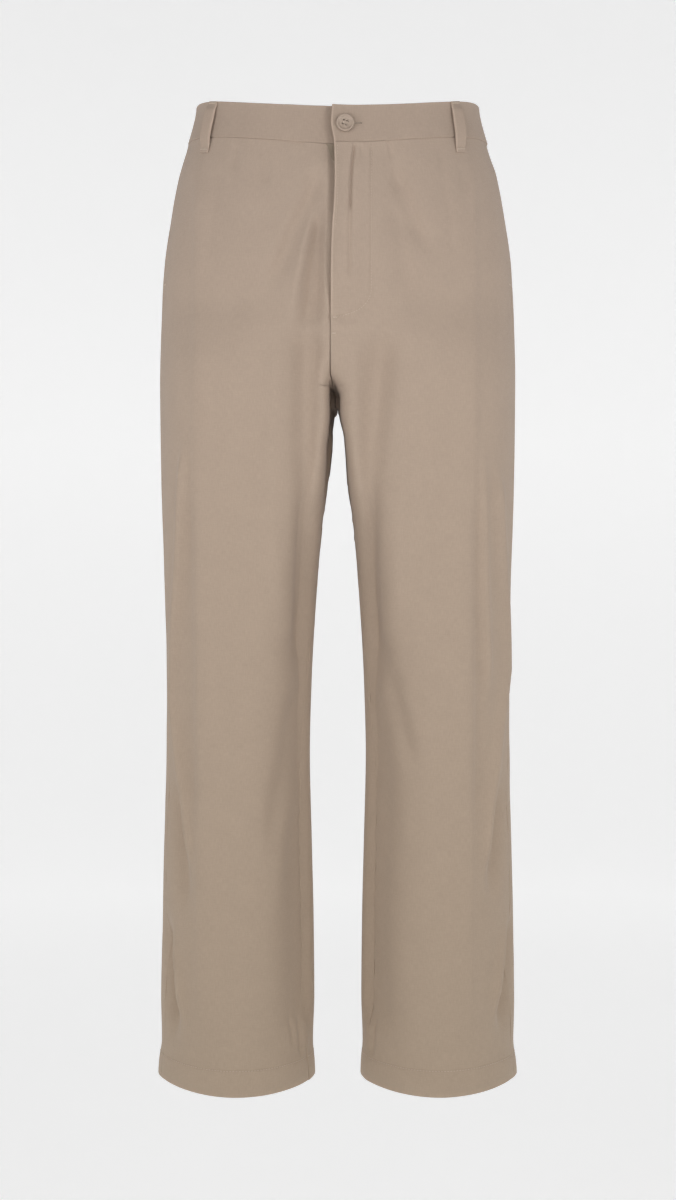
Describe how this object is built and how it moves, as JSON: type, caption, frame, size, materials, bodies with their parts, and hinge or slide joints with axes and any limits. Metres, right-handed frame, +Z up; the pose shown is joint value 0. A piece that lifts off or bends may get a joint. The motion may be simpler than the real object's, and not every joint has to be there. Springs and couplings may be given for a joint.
{
  "type": "painter pants",
  "caption": "Straight, roomy cotton twill trousers filled out as worn, with a lapped fly, a one-button waistband, belt loops and in-seam side pockets.",
  "frame": {"origin": "middle of the waist opening, level with the middle of the waistband at the side seams", "axes": "+Z up towards the waist, -Y towards the wearer's front, +X towards the wearer's left"},
  "size_m": [0.3838, 0.251, 1.0528],
  "materials": {
    "twill": "matt washed cotton twill",
    "pocketing": "plain cotton pocketing",
    "zip_tape": "woven tape",
    "button_resin": "tone-on-tone, satin"
  },
  "bodies": {
    "root": {"front_right": "twill", "front_left": "twill", "back_right": "twill", "back_left": "twill", "waistband": "twill", "fly_shield": "twill", "fly_zip": "zip_tape", "pocket_right": "pocketing", "pocket_left": "pocketing", "loop_front_right": "twill", "loop_front_left": "twill", "loop_back_right": "twill", "loop_back_left": "twill", "loop_back_centre": "twill", "button": "button_resin"}
  },
  "joints": []
}
